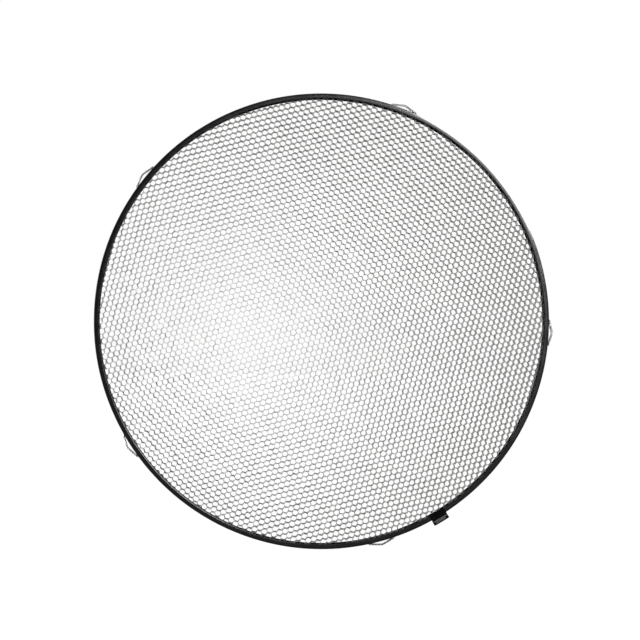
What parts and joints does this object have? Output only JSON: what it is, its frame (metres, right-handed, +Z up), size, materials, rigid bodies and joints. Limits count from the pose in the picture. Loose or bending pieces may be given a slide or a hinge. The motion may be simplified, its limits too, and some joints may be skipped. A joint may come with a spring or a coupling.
{
  "type": "honeycomb grid",
  "caption": "Round honeycomb grid that narrows a soft reflector's beam, held in its mouth by sprung wire clips, with a pull tab.",
  "frame": {"origin": "the ring's centre at half its depth", "axes": "+Y along the ring's axis towards the lamp, so the light leaves towards -Y; +Z up; +X to the right seen from the front"},
  "size_m": [0.5105, 0.0163, 0.506],
  "materials": {
    "rim_paint": "satin black powder coat",
    "core_aluminium": "dull bare foil",
    "spring_wire": "drawn stainless wire",
    "splice_aluminium": "mill finish",
    "rivet_aluminium": "satin",
    "webbing": "black woven polyester",
    "label_fabric": "black woven label",
    "thread": "grey sewing thread"
  },
  "bodies": {
    "rim": {"rim_channel": "rim_paint", "honeycomb_core": "core_aluminium", "splice_plate": "splice_aluminium", "splice_rivets": "rivet_aluminium", "tab_strap": "webbing"},
    "tab_end": {"tab_tail": "webbing", "tab_label": "label_fabric", "tab_stitching": "thread"},
    "spring_1_anchor": {"spring_1_anchor_leg": "spring_wire"},
    "spring_1_slider": {"spring_1_sliding_leg": "spring_wire"},
    "spring_2_anchor": {"spring_2_anchor_leg": "spring_wire"},
    "spring_2_slider": {"spring_2_sliding_leg": "spring_wire"},
    "spring_3_anchor": {"spring_3_anchor_leg": "spring_wire"},
    "spring_3_slider": {"spring_3_sliding_leg": "spring_wire"},
    "spring_4_anchor": {"spring_4_anchor_leg": "spring_wire"},
    "spring_4_slider": {"spring_4_sliding_leg": "spring_wire"},
    "spring_5_anchor": {"spring_5_anchor_leg": "spring_wire"},
    "spring_5_slider": {"spring_5_sliding_leg": "spring_wire"}
  },
  "joints": [
    {"name": "tab_fold", "type": "hinge", "parent": "rim", "child": "tab_end", "pos_m": [0.13108, 0, -0.21989], "axis": [0.859, 0, 0.512], "range_deg": [-60, 60]},
    {"name": "spring_1_press", "type": "hinge", "parent": "rim", "child": "spring_1_anchor", "pos_m": [0.25391, 0, 0.00121], "axis": [0, 1, 0], "range_deg": [0, 11]},
    {"name": "spring_1_flex", "type": "hinge", "parent": "spring_1_anchor", "child": "spring_1_slider", "pos_m": [0.2569, 0, -0.01346], "axis": [0, 1, 0], "range_deg": [-22, 0]},
    {"name": "spring_2_press", "type": "hinge", "parent": "rim", "child": "spring_2_anchor", "pos_m": [0.07731, 0, 0.24186], "axis": [0, 1, 0], "range_deg": [0, 11]},
    {"name": "spring_2_flex", "type": "hinge", "parent": "spring_2_anchor", "child": "spring_2_slider", "pos_m": [0.09219, 0, 0.24016], "axis": [0, 1, 0], "range_deg": [-22, 0]},
    {"name": "spring_3_press", "type": "hinge", "parent": "rim", "child": "spring_3_anchor", "pos_m": [-0.20613, 0, 0.14826], "axis": [0, 1, 0], "range_deg": [0, 11]},
    {"name": "spring_3_flex", "type": "hinge", "parent": "spring_3_anchor", "child": "spring_3_slider", "pos_m": [-0.19992, 0, 0.16189], "axis": [0, 1, 0], "range_deg": [-22, 0]},
    {"name": "spring_4_press", "type": "hinge", "parent": "rim", "child": "spring_4_anchor", "pos_m": [-0.20471, 0, -0.15023], "axis": [0, 1, 0], "range_deg": [0, 11]},
    {"name": "spring_4_flex", "type": "hinge", "parent": "spring_4_anchor", "child": "spring_4_slider", "pos_m": [-0.21575, 0, -0.14011], "axis": [0, 1, 0], "range_deg": [-22, 0]},
    {"name": "spring_5_press", "type": "hinge", "parent": "rim", "child": "spring_5_anchor", "pos_m": [0.07962, 0, -0.24111], "axis": [0, 1, 0], "range_deg": [0, 11]},
    {"name": "spring_5_flex", "type": "hinge", "parent": "spring_5_anchor", "child": "spring_5_slider", "pos_m": [0.06658, 0, -0.24848], "axis": [0, 1, 0], "range_deg": [-22, 0]}
  ],
  "couplings": [
    {"joint": "spring_1_flex", "follows": "spring_1_press", "ratio": -2},
    {"joint": "spring_2_flex", "follows": "spring_2_press", "ratio": -2},
    {"joint": "spring_3_flex", "follows": "spring_3_press", "ratio": -2},
    {"joint": "spring_4_flex", "follows": "spring_4_press", "ratio": -2},
    {"joint": "spring_5_flex", "follows": "spring_5_press", "ratio": -2}
  ]
}
